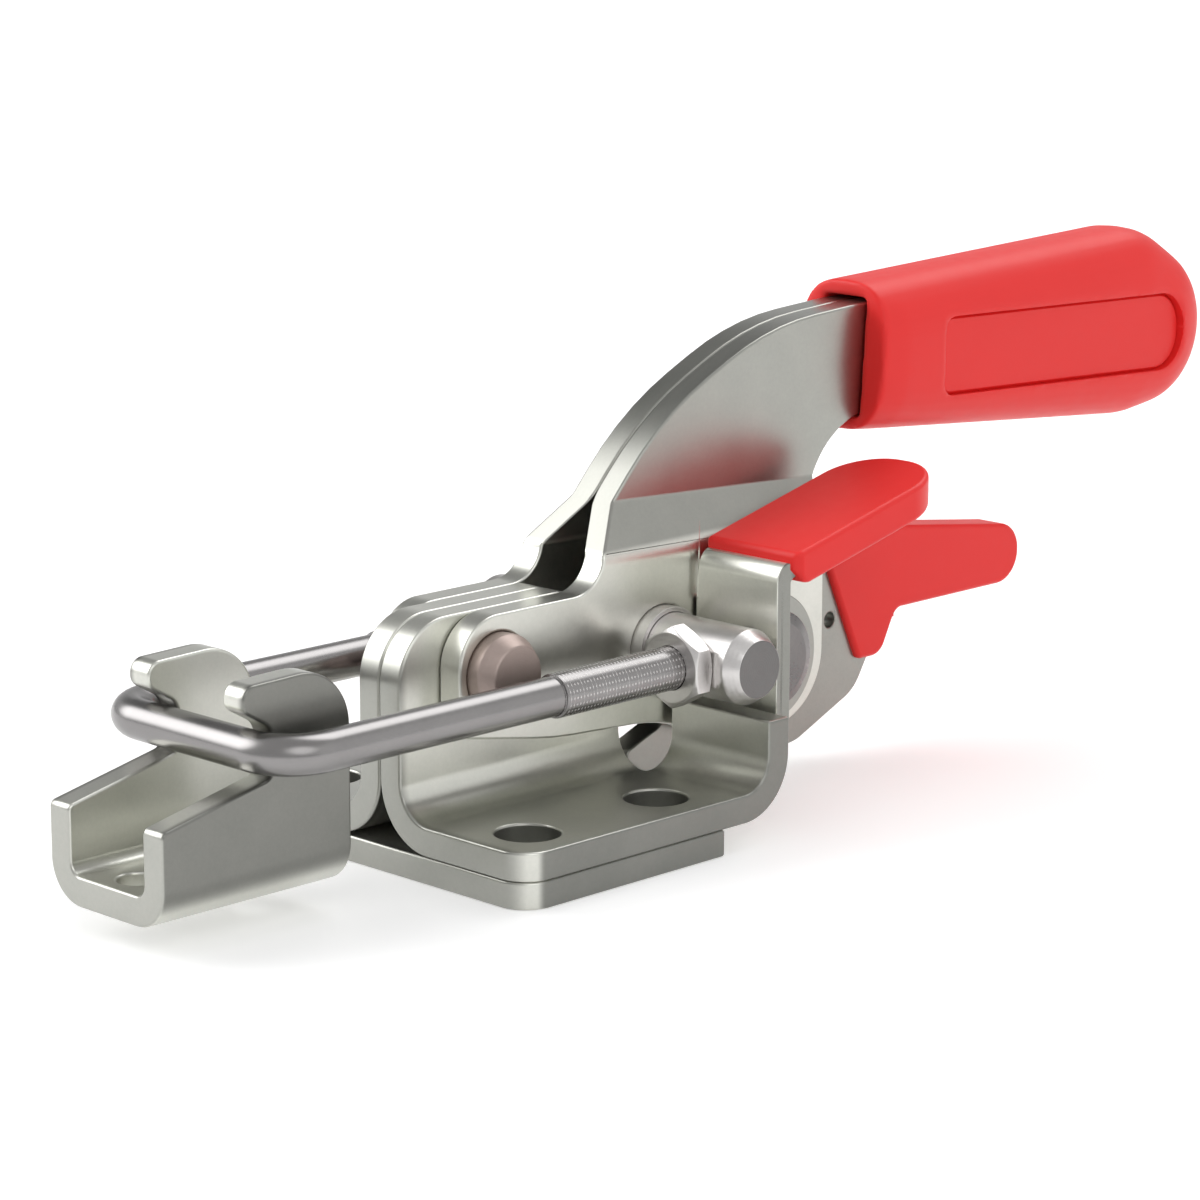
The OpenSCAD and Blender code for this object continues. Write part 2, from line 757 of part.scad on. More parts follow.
// A straight piece of wire between two [x, z] points, a little thinner than the coil's
module wire(from, to) {
    run = to - from;
    translate([from.x, 0, from.y])
        rotate([0, atan2(run.x, run.y), 0])
        cylinder(h = norm(run), d = wire_d - 0.1, $fn = 10);
}

// Torsion spring round a lever spacer: one leg stands up into the bend of the handle plate,
// the other runs back and hooks into the release lever
module release_spring() {
    r = spacer_d / 2 + wire_d;
    reach = norm(spring_hole);
    aim = atan2(spring_hole.y, spring_hole.x) + acos(r / reach);
    color(bright)
    translate([lever.x, -(arm_in + plate_t / 2) / 2, lever.y]) {
        rotate([90, 0, 0]) rotate_extrude($fn = 48) translate([r, 0]) circle(d = wire_d, $fn = 10);
        wire(r * [cos(aim), sin(aim)], spring_hole);
        wire([-r, 0], [-r, spring_leg]);
        translate([spring_hole.x, wire_d / 2 - 0.1, spring_hole.y])
            rotate([90, 0, 0]) translate([0, 0, -arm_in / 2])
            cylinder(h = arm_in / 2 + wire_d - 0.2, d = wire_d, $fn = 10);
    }
}

base_plate();
side_plate();  // side_plate_near
far_side() side_plate();  // side_plate_far
pivot_pin();
handle_plate();  // handle_plate_near
far_side() handle_plate();  // handle_plate_far
grip();
trunnion_bush();  // trunnion_bush_near
far_side() trunnion_bush();  // trunnion_bush_far
trunnion();
u_bolt();
jam_nut(-1);  // jam_nut_near
jam_nut(1);  // jam_nut_far
latch_plate();
lever_pin();
lever_spacer();  // lever_spacer_near
far_side() lever_spacer();  // lever_spacer_far
thumb_lever();  // thumb_lever_near
thumb_pad();  // thumb_pad_near
release_lever();
release_sleeve();
release_spring();  // release_spring_near
far_side() release_spring();  // release_spring_far
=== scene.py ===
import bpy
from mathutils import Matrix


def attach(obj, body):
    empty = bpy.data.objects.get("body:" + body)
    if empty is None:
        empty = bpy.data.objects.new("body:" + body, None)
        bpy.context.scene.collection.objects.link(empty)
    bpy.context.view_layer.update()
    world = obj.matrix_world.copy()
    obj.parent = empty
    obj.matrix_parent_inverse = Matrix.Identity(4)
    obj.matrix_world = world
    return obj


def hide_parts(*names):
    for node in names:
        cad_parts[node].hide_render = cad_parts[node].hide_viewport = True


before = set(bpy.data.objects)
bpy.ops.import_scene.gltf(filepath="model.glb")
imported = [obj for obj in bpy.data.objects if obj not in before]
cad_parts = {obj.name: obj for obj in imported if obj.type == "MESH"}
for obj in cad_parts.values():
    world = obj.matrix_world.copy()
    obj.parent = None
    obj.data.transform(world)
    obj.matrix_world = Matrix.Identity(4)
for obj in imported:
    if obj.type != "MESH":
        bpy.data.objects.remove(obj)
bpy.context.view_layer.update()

import math

import bpy
from mathutils import Vector
from mathutils.bvhtree import BVHTree

# The photographer's place
# The clamp was photographed from low in front of its left corner, with a long lens. The camera's place
# and angles come from a fit of the base plate, the holes and the rods to the photograph.
MM = 0.001
CAMERA_PLACE = (-347.26, -365.69, 147.67)
CAMERA_TURN = (77.2555, -0.0887, -45.175)
LENS = 115.547
SENSOR = 36
scene = bpy.context.scene
bpy.ops.object.select_all(action="DESELECT")
bpy.ops.object.camera_add(
    location=[distance * MM for distance in CAMERA_PLACE],
    rotation=[math.radians(angle) for angle in CAMERA_TURN],
)
camera = bpy.context.object
camera.name = "photographer"
camera.data.lens = LENS
camera.data.sensor_width = SENSOR
camera.data.sensor_fit = "HORIZONTAL"
camera.data.clip_start = 0.01
camera.data.clip_end = 30
scene.camera = camera
scene.view_settings.view_transform = "Standard"

# Base plate
# A blank of 3.7 mm zinc-plated sheet steel with four screw holes, laid under the flanges of the two side
# plates and joined to them out of sight. Sheared edges are tumbled, so each one has a small round.
BASE_HALF = 27.5
FRONT = -20.2
HOLE_PLACE = (12, 19.5)
HOLE_RADIUS = 4.35
EDGE_ROUND = 0.4
JOIN_WITHIN = 0.004
FLAT_WITHIN = 0.4
SMOOTH_ANGLE = 35
BIG_FACE_WEIGHT = 60


def pick(piece):
    """Selects one object alone and makes it active."""
    bpy.ops.object.select_all(action="DESELECT")
    piece.select_set(True)
    bpy.context.view_layer.objects.active = piece


def apply_all(piece):
    """Applies every modifier of a piece in turn."""
    pick(piece)
    for name in [modifier.name for modifier in piece.modifiers]:
        bpy.ops.object.modifier_apply(modifier=name)


def even_shading(piece):
    """Smooth over bends and rounds, flat over flat faces."""
    pick(piece)
    bpy.ops.object.shade_smooth_by_angle(angle=math.radians(SMOOTH_ANGLE))
    weighted = piece.modifiers.new("even shading", "WEIGHTED_NORMAL")
    weighted.keep_sharp = True
    weighted.weight = BIG_FACE_WEIGHT
    apply_all(piece)


def merged_copy(node, name):
    """A copy of a CAD solid with its loose triangles joined and its flat faces made whole."""
    piece = bpy.data.objects.new(name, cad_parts[node].data.copy())
    scene.collection.objects.link(piece)
    piece.data.materials.clear()
    pick(piece)
    bpy.ops.mesh.customdata_custom_splitnormals_clear()
    bpy.ops.object.mode_set(mode="EDIT")
    bpy.ops.mesh.select_all(action="SELECT")
    bpy.ops.mesh.remove_doubles(threshold=JOIN_WITHIN * MM)
    bpy.ops.mesh.dissolve_limited(angle_limit=math.radians(FLAT_WITHIN), use_dissolve_boundaries=False)
    bpy.ops.object.mode_set(mode="OBJECT")
    return piece


def break_edges(piece, size, segments=3, angle=30):
    """Rounds every corner that is sharper than angle."""
    bevel = piece.modifiers.new("broken edges", "BEVEL")
    bevel.width = size * MM
    bevel.segments = segments
    bevel.limit_method = "ANGLE"
    bevel.angle_limit = math.radians(angle)
    bevel.use_clamp_overlap = False
    bevel.miter_outer = "MITER_ARC"
    apply_all(piece)
    even_shading(piece)


def tumbled(node, name, size=EDGE_ROUND):
    """A sheet steel part, straight from the tumbler."""
    piece = merged_copy(node, name)
    break_edges(piece, size)
    return piece


def new_group(name, inputs, outputs):
    """An empty shader group, from its inputs' kinds and values and its outputs' kinds."""
    group = bpy.data.node_groups.new(name, "ShaderNodeTree")
    for label, (kind, value) in inputs.items():
        socket = group.interface.new_socket(
            name=label, in_out="INPUT", socket_type="NodeSocket" + kind
        )
        socket.default_value = value
    for label, kind in outputs.items():
        group.interface.new_socket(name=label, in_out="OUTPUT", socket_type="NodeSocket" + kind)
    return group, group.nodes.new("NodeGroupInput"), group.nodes.new("NodeGroupOutput")


def add_node(tree, kind, values=None, **settings):
    """Adds a shader node with its settings, and then the values of its inputs."""
    node = tree.nodes.new("ShaderNode" + kind)
    for name, setting in settings.items():
        setattr(node, name, setting)
    for name, value in (values or {}).items():
        node.inputs[name].default_value = value
    return node


def recolour(material, group, values):
    """Sends a material's colour through one more group on its way to the shader."""
    tree = material.node_tree
    step = add_node(tree, "Group", values, node_tree=group)
    color = tree.nodes["Principled BSDF"].inputs["Base Color"]
    before = color.links[0].from_socket
    tree.links.new(before, step.inputs["Color"])
    tree.links.new(step.outputs["Color"], color)


def plated_grain():
    """Cloudy colour, a fine crystalline grain and a matching roughness, as zinc comes out of the bath."""
    group, inside, outside = new_group(
        "plated grain",
        {
            "Cloud size": ("Float", 60),
            "Grain size": ("Float", 1800),
            "Roughness": ("Float", 0.3),
            "Roughness spread": ("Float", 0.05),
            "Pale": ("Color", (0.5, 0.5, 0.5, 1)),
            "Deep": ("Color", (0.4, 0.4, 0.4, 1)),
        },
        {"Color": "Color", "Roughness": "Float", "Height": "Float"},
    )
    links = group.links
    place = add_node(group, "TexCoord")
    cloud = add_node(group, "TexNoise", {"Detail": 4, "Roughness": 0.6})
    links.new(place.outputs["Object"], cloud.inputs["Vector"])
    links.new(inside.outputs["Cloud size"], cloud.inputs["Scale"])
    grain = add_node(group, "TexNoise", {"Detail": 3, "Roughness": 0.7})
    links.new(place.outputs["Object"], grain.inputs["Vector"])
    links.new(inside.outputs["Grain size"], grain.inputs["Scale"])
    both = add_node(group, "Mix", {"Factor": 0.3}, data_type="FLOAT")
    links.new(cloud.outputs["Fac"], both.inputs["A"])
    links.new(grain.outputs["Fac"], both.inputs["B"])
    spread = add_node(group, "MapRange", {"From Min": 0.35, "From Max": 0.65})
    links.new(both.outputs["Result"], spread.inputs["Value"])
    tint = add_node(group, "Mix", data_type="RGBA")
    links.new(spread.outputs["Result"], tint.inputs["Factor"])
    links.new(inside.outputs["Deep"], tint.inputs["A"])
    links.new(inside.outputs["Pale"], tint.inputs["B"])
    links.new(tint.outputs["Result"], outside.inputs["Color"])
    lift = add_node(group, "Math", {1: 0.5}, operation="SUBTRACT")
    links.new(spread.outputs["Result"], lift.inputs[0])
    vary = add_node(group, "Math", operation="MULTIPLY_ADD")
    links.new(lift.outputs["Value"], vary.inputs[0])
    links.new(inside.outputs["Roughness spread"], vary.inputs[1])
    links.new(inside.outputs["Roughness"], vary.inputs[2])
    links.new(vary.outputs["Value"], outside.inputs["Roughness"])
    links.new(grain.outputs["Fac"], outside.inputs["Height"])
    return group


PLATED_GRAIN = plated_grain()


def painted_shading_by_side():
    """Paints light and shade into a colour: brighter or darker far out to the sides, and low along a way,
    by given shares.
    """
    group, inside, outside = new_group(
        "painted shading by side",
        {
            "Color": ("Color", (0.5, 0.5, 0.5, 1)),
            "Fade from": ("Float", 1),
            "Out from": ("Float", 1),
            "Out share": ("Float", 1),
            "Way": ("Vector", (1, 0, 0)),
            "Below": ("Float", -1),
            "Fade to": ("Float", -1),
            "Below share": ("Float", 1),
        },
        {"Color": "Color"},
    )
    links = group.links
    place = add_node(group, "TexCoord")
    split = add_node(group, "SeparateXYZ")
    links.new(place.outputs["Object"], split.inputs["Vector"])
    out = add_node(group, "Math", operation="ABSOLUTE")
    links.new(split.outputs["Y"], out.inputs[0])
    side = add_node(group, "MapRange", {"To Min": 1}, interpolation_type="SMOOTHSTEP")
    links.new(out.outputs["Value"], side.inputs["Value"])
    links.new(inside.outputs["Fade from"], side.inputs["From Min"])
    links.new(inside.outputs["Out from"], side.inputs["From Max"])
    links.new(inside.outputs["Out share"], side.inputs["To Max"])
    along = add_node(group, "VectorMath", operation="DOT_PRODUCT")
    links.new(place.outputs["Object"], along.inputs[0])
    links.new(inside.outputs["Way"], along.inputs[1])
    low = add_node(group, "MapRange", {"To Min": 1, "To Max": 0}, interpolation_type="SMOOTHSTEP")
    links.new(along.outputs["Value"], low.inputs["Value"])
    links.new(inside.outputs["Below"], low.inputs["From Min"])
    links.new(inside.outputs["Fade to"], low.inputs["From Max"])
    share = add_node(group, "Mix", data_type="FLOAT")
    links.new(low.outputs["Result"], share.inputs["Factor"])
    links.new(side.outputs["Result"], share.inputs["A"])
    links.new(inside.outputs["Below share"], share.inputs["B"])
    scale = add_node(group, "VectorMath", operation="SCALE")
    links.new(inside.outputs["Color"], scale.inputs[0])
    links.new(share.outputs["Result"], scale.inputs["Scale"])
    links.new(scale.outputs["Vector"], outside.inputs["Color"])
    return group


PAINTED_SHADING_BY_SIDE = painted_shading_by_side()
CLEAR_OF_ALL = 1000
FACE_MARGIN = 0.05
EDGE_MARGIN = 0.06


def paint_shading(
    out=CLEAR_OF_ALL, out_fade=1, out_share=1,
    below=-CLEAR_OF_ALL, below_fade=1, below_share=1, way=(1, 0, 0),
):
    """Where light and shade are painted on a piece: past out millimetres from the middle, and below a place
    along way.
    """
    return {
        "Fade from": (out - out_fade) * MM,
        "Out from": out * MM,
        "Out share": out_share,
        "Way": way,
        "Below": below * MM,
        "Fade to": (below + below_fade) * MM,
        "Below share": below_share,
    }


NO_PAINTED_SHADING = paint_shading()


def painted_hole_shade():
    """Scales the colour of the walls of four holes that lie evenly round the middle by a share, as painted
    shade in the holes.
    """
    group, inside, outside = new_group(
        "painted hole shade",
        {
            "Color": ("Color", (0.5, 0.5, 0.5, 1)),
            "Centre": ("Vector", (0, 0, 0)),
            "Radius": ("Float", 0),
            "Share": ("Float", 1),
        },
        {"Color": "Color"},
    )
    links = group.links
    place = add_node(group, "TexCoord")
    quarter = add_node(group, "VectorMath", operation="ABSOLUTE")
    links.new(place.outputs["Object"], quarter.inputs[0])
    level = add_node(group, "VectorMath", {1: (1, 1, 0)}, operation="MULTIPLY")
    links.new(quarter.outputs["Vector"], level.inputs[0])
    apart = add_node(group, "VectorMath", operation="DISTANCE")
    links.new(level.outputs["Vector"], apart.inputs[0])
    links.new(inside.outputs["Centre"], apart.inputs[1])
    within = add_node(group, "Math", operation="LESS_THAN")
    links.new(apart.outputs["Value"], within.inputs[0])
    links.new(inside.outputs["Radius"], within.inputs[1])
    scale = add_node(group, "VectorMath", operation="SCALE")
    links.new(inside.outputs["Color"], scale.inputs[0])
    links.new(inside.outputs["Share"], scale.inputs["Scale"])
    blend = add_node(group, "Mix", data_type="RGBA")
    links.new(within.outputs["Value"], blend.inputs["Factor"])
    links.new(inside.outputs["Color"], blend.inputs["A"])
    links.new(scale.outputs["Vector"], blend.inputs["B"])
    links.new(blend.outputs["Result"], outside.inputs["Color"])
    return group


PAINTED_HOLE_SHADE = painted_hole_shade()
GRAIN_DEPTH = 0.01


def metal(name, pale, deep, roughness, spread, bump, cloud_size=60, metallic=1, painted_shading=NO_PAINTED_SHADING):
    """A metal finish built on the plated grain, with painted light and shade that make it brighter or
    darker by place.
    """
    material = bpy.data.materials.new(name)
    material.use_nodes = True
    tree = material.node_tree
    links = tree.links
    shader = tree.nodes["Principled BSDF"]
    shader.inputs["Metallic"].default_value = metallic
    grain = add_node(
        tree,
        "Group",
        {
            "Cloud size": cloud_size,
            "Roughness": roughness,
            "Roughness spread": spread,
            "Pale": (*pale, 1),
            "Deep": (*deep, 1),
        },
        node_tree=PLATED_GRAIN,
    )
    links.new(grain.outputs["Color"], shader.inputs["Base Color"])
    # Painted light and shade: the colour is scaled by place on the piece.
    recolour(material, PAINTED_SHADING_BY_SIDE, painted_shading)
    links.new(grain.outputs["Roughness"], shader.inputs["Roughness"])
    relief = add_node(tree, "Bump", {"Distance": GRAIN_DEPTH * MM, "Strength": bump})
    links.new(grain.outputs["Height"], relief.inputs["Height"])
    links.new(relief.outputs["Normal"], shader.inputs["Normal"])
    return material


PALE_ZINC = (0.57, 0.57, 0.525)
DEEP_ZINC = (0.49, 0.495, 0.455)


def zinc(name, painted_shading, gain, metallic=0.92):
    """Zinc plate for one part: a copy of one plating made paler or darker by gain, as painted light and
    shade for how that part is lit.
    """
    pale = [gain * share for share in PALE_ZINC]
    deep = [gain * share for share in DEEP_ZINC]
    return metal(
        name, pale, deep, roughness=0.3, spread=0.05, bump=0.08, metallic=metallic, painted_shading=painted_shading
    )


# Painted light and shade: a paler copy of the zinc (gain 1.22), darkened to 0.34 on the faces out at the
# sides and to 0.6 on the front cut faces.
BASE_ZINC = zinc(
    "zinc plate of the base",
    paint_shading(
        out=BASE_HALF - FACE_MARGIN, out_fade=0.4, out_share=0.34,
        below=FRONT + EDGE_MARGIN, below_fade=1.6, below_share=0.6,
    ),
    gain=1.22,
)
# Painted shade: the walls of the four screw holes are darkened to 0.55 of the colour.
recolour(
    BASE_ZINC,
    PAINTED_HOLE_SHADE,
    {
        "Centre": (HOLE_PLACE[0] * MM, HOLE_PLACE[1] * MM, 0),
        "Radius": (HOLE_RADIUS + 0.1) * MM,
        "Share": 0.55,
    },
)


def fit(piece, material, slot, body, *nodes):
    """Gives a finished piece its material and body, and takes the CAD solids off show."""
    piece.data.materials.append(material)
    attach(piece, body)
    if nodes:
        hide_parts(*nodes)


fit(tumbled("base_plate", "base_sheet"), BASE_ZINC, "zinc_steel", "base", "base_plate")

# Side plates
# Two mirror-image bendings of steel sheet, back to back: each has a web for the pivot pin, a flange over
# the base plate with a pair of screw holes, and an upstand behind them.
for side in ("near", "far"):
    bending = tumbled("side_plate_" + side, "side_bending_" + side)
    fit(bending, BASE_ZINC, "zinc_steel", "base", "side_plate_" + side)

# Pivot pin
# A turned bronze pin, chamfered at both ends, held in the two webs. Its end faces keep the fine rings of
# the lathe tool.
PIVOT = (-6.3, 26.1)
PIVOT_HALF = 12
RING_SCALE = 900
RING_DEPTH = 0.02


def turned_rings():
    """Fine, slightly uneven rings round an axis across the clamp, as a height."""
    group, inside, outside = new_group(
        "turned rings",
        {"Centred place": ("Vector", (0, 0, 0)), "Ring scale": ("Float", RING_SCALE)},
        {"Height": "Float"},
    )
    wave = add_node(
        group,
        "TexWave",
        {"Distortion": 1.5, "Detail": 2, "Detail Scale": 0.3},
        wave_type="RINGS",
        rings_direction="Y",
    )
    group.links.new(inside.outputs["Centred place"], wave.inputs["Vector"])
    group.links.new(inside.outputs["Ring scale"], wave.inputs["Scale"])
    group.links.new(wave.outputs["Fac"], outside.inputs["Height"])
    return group


TURNED_RINGS = turned_rings()


def turned(name, pale, deep, roughness, spread, axis, painted_shading=NO_PAINTED_SHADING):
    """A turned metal finish, with rings centred on a pin's axis at (x, z) in millimetres."""
    material = metal(name, pale, deep, roughness, spread, bump=0.2, cloud_size=150, painted_shading=painted_shading)
    tree = material.node_tree
    links = tree.links
    place = add_node(tree, "TexCoord")
    centre = add_node(tree, "Mapping", {"Location": (-axis[0] * MM, 0, -axis[1] * MM)})
    links.new(place.outputs["Object"], centre.inputs["Vector"])
    lathe = add_node(tree, "Group", node_tree=TURNED_RINGS)
    links.new(centre.outputs["Vector"], lathe.inputs["Centred place"])
    relief = add_node(tree, "Bump", {"Distance": RING_DEPTH * MM, "Strength": 0.25})
    links.new(lathe.outputs["Height"], relief.inputs["Height"])
    normal = tree.nodes["Principled BSDF"].inputs["Normal"]
    grained = normal.links[0].from_socket
    links.new(grained, relief.inputs["Normal"])
    links.new(relief.outputs["Normal"], normal)
    return material


# Painted shade: the pin's end faces are made a little darker (0.95).
BRONZE = turned(
    "bronze",
    pale=(0.46, 0.375, 0.345),
    deep=(0.40, 0.325, 0.295),
    roughness=0.5,
    spread=0.08,
    axis=PIVOT,
    painted_shading=paint_shading(out=PIVOT_HALF - FACE_MARGIN, out_fade=0.05, out_share=0.95),
)
pivot = merged_copy("pivot_pin", "turned_pivot")
break_edges(pivot, size=0.2, segments=2, angle=20)
fit(pivot, BRONZE, "bronze_pin", "base", "pivot_pin")

# Handle plates
# Two stampings of 4 mm zinc-plated steel sheet: spread round the webs at the bottom, joggled in above the
# neck and lying back to back from there to the end of the tang.
JOGGLE_HEIGHT = 38.6
# Painted light: a darker copy of the zinc (gain 0.66), made 1.8 times as bright below the joggle.
HANDLE_ZINC = zinc(
    "zinc plate of the handle",
    paint_shading(below=JOGGLE_HEIGHT, below_fade=0.8, below_share=1.8, way=(0, 0, 1)),
    gain=0.66,
    metallic=1,
)
for side in ("near", "far"):
    stamping = tumbled("handle_plate_" + side, "handle_stamping_" + side)
    fit(stamping, HANDLE_ZINC, "zinc_steel", "handle", "handle_plate_" + side)

# Trunnion and bushes
# A bright steel crosspin with turned, chamfered ends, carried in two thin bushes, with a flat in front of
# each screw hole for the jam nut.
CRANK = (24.8, 24.3)
CROSSPIN_HALF = 26.5
# Painted shade: the crosspin's end faces, beyond 26.45 mm from the middle, are darkened to a quarter of the
# colour.
BRIGHT = turned(
    "bright steel",
    pale=(0.70, 0.682, 0.67),
    deep=(0.61, 0.592, 0.58),
    roughness=0.33,
    spread=0.06,
    axis=CRANK,
    painted_shading=paint_shading(out=CROSSPIN_HALF - FACE_MARGIN, out_fade=0.05, out_share=0.25),
)
for side in ("near", "far"):
    bush = merged_copy("trunnion_bush_" + side, "bush_" + side)
    break_edges(bush, size=0.12, segments=2)
    fit(bush, BRIGHT, "bright_steel", "handle", "trunnion_bush_" + side)
crosspin = merged_copy("trunnion", "crosspin")
break_edges(crosspin, size=0.15, segments=2, angle=20)
fit(crosspin, BRIGHT, "bright_steel", "hook_link", "trunnion")

# U-bolt
# A bent rod, smooth in front and with a fine rolled thread behind, screwed through the crosspin. The
# thread is duller than the drawn rod, and its crests are a wire wound round the rod as far as the nut.
ROD = metal(
    "drawn rod",
    pale=(0.29, 0.281, 0.278),
    deep=(0.255, 0.247, 0.245),
    roughness=0.25,
    spread=0.04,
    bump=0.08,
)
THREAD = metal(
    "rolled thread",
    pale=(0.66, 0.645, 0.635),
    deep=(0.58, 0.565, 0.555),
    roughness=0.45,
    spread=0.1,
    bump=0.4,
    metallic=0.8,
)
ARM_APART = 34.3
THREAD_START = -5.15
THREAD_LEAD = 0.3
THREAD_SHOWN = 22.0
THREAD_PITCH = 0.6
THREAD_RADIUS = 3.0
THREAD_PROUD = 0.035
CREST_WIRE = 0.6
CREST_RADIUS = THREAD_RADIUS - CREST_WIRE / 2 + THREAD_PROUD
STEPS_A_TURN = 20


def wire_run(name, points, thickness):
    """A round wire bent along points in millimetres, closed at both ends."""
    line = bpy.data.curves.new(name, "CURVE")
    line.dimensions = "3D"
    line.bevel_depth = thickness / 2 * MM
    line.bevel_resolution = 2
    line.use_fill_caps = True
    run = line.splines.new("POLY")
    run.points.add(len(points) - 1)
    for knot, place in zip(run.points, points):
        knot.co = (place[0] * MM, place[1] * MM, place[2] * MM, 1)
    wire = bpy.data.objects.new(name, line)
    scene.collection.objects.link(wire)
    pick(wire)
    bpy.ops.object.convert(target="MESH")
    wire = bpy.context.object
    bpy.ops.object.mode_set(mode="EDIT")
    bpy.ops.mesh.select_all(action="SELECT")
    bpy.ops.mesh.remove_doubles(threshold=0.001 * MM)
    bpy.ops.mesh.normals_make_consistent(inside=False)
    bpy.ops.object.mode_set(mode="OBJECT")
    bpy.ops.object.shade_smooth_by_angle(angle=math.radians(50))
    return wire


bow = merged_copy("u_bolt", "bow")
break_edges(bow, size=0.14, segments=2, angle=60)
fit(bow, ROD, "bright_steel", "hook_link", "u_bolt")
for side, across in (("near", -1), ("far", 1)):
    crest = []
    for step in range(int(THREAD_SHOWN / THREAD_PITCH * STEPS_A_TURN)):
        angle = 2 * math.pi * step / STEPS_A_TURN
        crest.append((
            THREAD_START + THREAD_LEAD + THREAD_PITCH * step / STEPS_A_TURN,
            across * ARM_APART / 2 + CREST_RADIUS * math.cos(angle),
            CRANK[1] + CREST_RADIUS * math.sin(angle),
        ))
    thread = wire_run("thread_" + side, crest, CREST_WIRE)
    fit(thread, THREAD, "bright_steel", "hook_link")

# Jam nuts
# Thin hexagon nuts of bright steel, chamfered on both faces. One is run along the thread of each arm, up
# against the flat of the crosspin.
for side in ("near", "far"):
    nut = merged_copy("jam_nut_" + side, "thin_nut_" + side)
    break_edges(nut, size=0.1, segments=2, angle=20)
    fit(nut, BRIGHT, "bright_steel", "hook_link", "jam_nut_" + side)

# Latch plate
# A channel bent from the same zinc-plated sheet as the handle plates. It has two hooks that catch the bow
# and two screw holes in its floor.
LATCH_HALF = 11.25
LATCH_FRONT = -65.7
# Painted light and shade: a paler copy of the zinc (gain 1.22), darkened to 0.33 on the outer side faces
# and to 0.66 on the front cut faces.
LATCH_ZINC = zinc(
    "zinc plate of the latch",
    paint_shading(
        out=LATCH_HALF - FACE_MARGIN, out_fade=1.3, out_share=0.33,
        below=LATCH_FRONT + EDGE_MARGIN, below_fade=0.2, below_share=0.66,
    ),
    gain=1.22,
)
fit(tumbled("latch_plate", "latch_channel"), LATCH_ZINC, "zinc_steel", "hook_link", "latch_plate")

# Lever pin, spacers and springs
# A steel pin for the release lever and the thumb lever, with a spacer ring on each side of the release
# lever and a wire spring round each ring. The far spring is hooked into a hole in the release lever.
LEVER = (44.5, 19.8)
LEVER_STEEL = turned(
    "lever pin steel",
    pale=(0.22, 0.21, 0.205),
    deep=(0.18, 0.172, 0.17),
    roughness=0.3,
    spread=0.08,
    axis=LEVER,
)
SPRING_WIRE = 0.8
SPRING_RADIUS = 8.5
SPRING_PITCH = 0.85
SPRING_MIDDLE = 3.05
SPRING_LEG = 17
SPRING_HOLE = (22.3, 0.5)
SPRING_STEPS = 96
HOOK_DEPTH = 0.6
HOOK_BEND = 0.3
PLAIN_TAIL = (13, -3.6)


def coil(across, hooked):
    """The run of a spring's wire: from its tail or its hook, round the ring and up before it."""
    to_hole = math.atan2(SPRING_HOLE[1], SPRING_HOLE[0])
    first = to_hole - math.acos(SPRING_RADIUS / math.hypot(*SPRING_HOLE))
    last = -3 * math.pi
    width = SPRING_PITCH * (first - last) / (2 * math.pi)
    inner = SPRING_MIDDLE - width / 2
    hole = (LEVER[0] + SPRING_HOLE[0], LEVER[1] + SPRING_HOLE[1])
    if hooked:
        run = [
            (hole[0], across * HOOK_DEPTH, hole[1]),
            (hole[0], across * (inner - HOOK_BEND), hole[1]),
            (hole[0] - HOOK_BEND, across * inner, hole[1] - 0.1),
        ]
    else:
        run = [(LEVER[0] + PLAIN_TAIL[0], across * inner, LEVER[1] + PLAIN_TAIL[1])]
    for step in range(SPRING_STEPS + 1):
        share = step / SPRING_STEPS
        angle = first + (last - first) * share
        run.append((
            LEVER[0] + SPRING_RADIUS * math.cos(angle),
            across * (inner + width * share),
            LEVER[1] + SPRING_RADIUS * math.sin(angle),
        ))
    run.append((LEVER[0] - SPRING_RADIUS, across * (inner + width), LEVER[1] + SPRING_LEG))
    return run


axle = merged_copy("lever_pin", "lever_axle")
break_edges(axle, size=0.15, segments=2, angle=20)
fit(axle, LEVER_STEEL, "bright_steel", "handle", "lever_pin")
for side, across in (("near", -1), ("far", 1)):
    ring = merged_copy("lever_spacer_" + side, "spacer_ring_" + side)
    break_edges(ring, size=0.12, segments=2)
    fit(ring, LEVER_STEEL, "bright_steel", "handle", "lever_spacer_" + side)
    spring = wire_run("wire_spring_" + side, coil(across, hooked=side == "far"), SPRING_WIRE)
    fit(spring, ROD, "bright_steel", "release", "release_spring_" + side)

# Release lever
# A flat lever of 4 mm zinc-plated sheet between the handle plates, with a nose in front. Its tail is dipped
# in red vinyl, which leaves a coat with round corners and a mouth that lies tight on the steel.
PEEL_DEPTH = 0.05
DIP_ROUND = 0.75
TIGHT_WITHIN = 0.1
NOSE_FROM = 10
NOSE_UNDER = 4
NOSE_DROP = 1.0
NOSE_FADE_DOWN = 4
NOSE_FADE_AHEAD = 5


